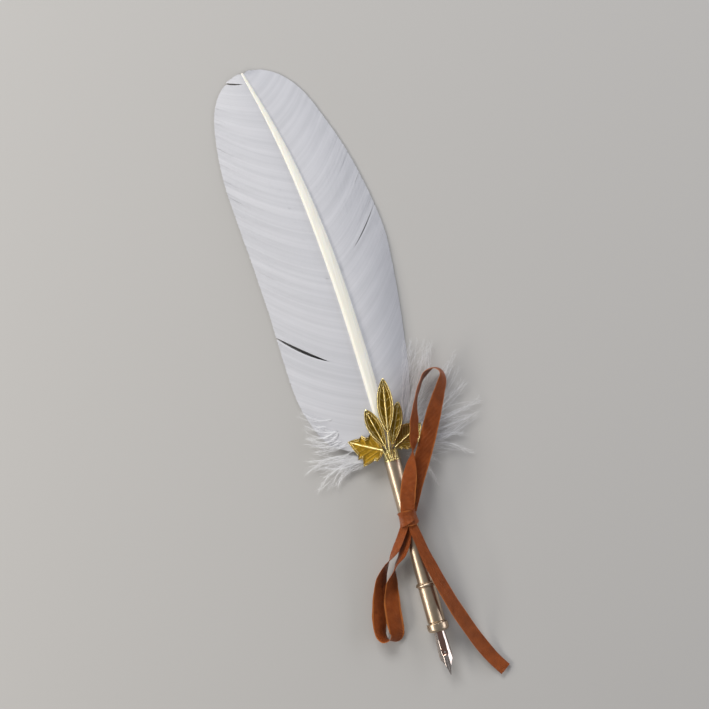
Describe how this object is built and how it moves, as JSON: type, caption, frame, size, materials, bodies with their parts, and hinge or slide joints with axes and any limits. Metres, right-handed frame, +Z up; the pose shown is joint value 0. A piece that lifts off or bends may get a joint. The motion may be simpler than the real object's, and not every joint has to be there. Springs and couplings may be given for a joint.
{
  "type": "quill pen",
  "caption": "Feather quill dip pen with a plated barrel, gilt leaf ornament, tied satin ribbon, screw-off grip and pull-out steel nib.",
  "frame": {"origin": "point on the table straight below the widest station of the front collar, which the pen rests on", "axes": "+Y along the pen from the nib towards the feather, +Z up from the table, +X to the right seen from above with the feather away"},
  "size_m": [0.0836, 0.2721, 0.0141],
  "materials": {
    "plated_metal": "satin champagne plating",
    "gilt": "gilt cast relief, polished rims and dark ground",
    "bare_brass": "turned",
    "nib_steel": "pressed and polished",
    "shaft_keratin": "smooth keratin",
    "vane_keratin": "fine barbs",
    "down": "loose down",
    "adhesive": "clear cured",
    "satin_ribbon": "woven satin"
  },
  "bodies": {
    "pen_body": {"barrel_tube": "plated_metal", "barrel_bush": "bare_brass", "quill_glue": "adhesive", "feather_shaft": "shaft_keratin", "vane_left": "vane_keratin", "vane_right": "vane_keratin", "down_left": "down", "down_right": "down", "ornament_collar": "gilt", "leaf_centre": "gilt", "leaf_upper_left": "gilt", "leaf_upper_right": "gilt", "leaf_lower_left": "gilt", "leaf_lower_right": "gilt", "ribbon_knot": "satin_ribbon", "ribbon_upper_loop": "satin_ribbon", "ribbon_lower_loop": "satin_ribbon", "ribbon_tail": "satin_ribbon"},
    "trim_ring": {"trim_ring": "plated_metal"},
    "front_section": {"grip_core": "bare_brass", "grip_sleeve": "plated_metal", "front_collar": "plated_metal", "nib_clip": "nib_steel"},
    "nib": {"nib": "nib_steel"}
  },
  "joints": [
    {"name": "ring_slide", "type": "slide", "parent": "pen_body", "child": "trim_ring", "axis": [0, -1, 0], "range_m": [0, 0.006]},
    {"name": "front_turn", "type": "hinge", "parent": "trim_ring", "child": "front_section", "pos_m": [0, 0, 0.0046], "axis": [0, -1, 0], "range_deg": [0, 2160]},
    {"name": "nib_pull", "type": "slide", "parent": "front_section", "child": "nib", "axis": [0, -1, 0], "range_m": [0, 0.0145]}
  ],
  "couplings": [
    {"joint": "front_turn", "follows": "ring_slide", "rad_per_m": 6283.2}
  ]
}
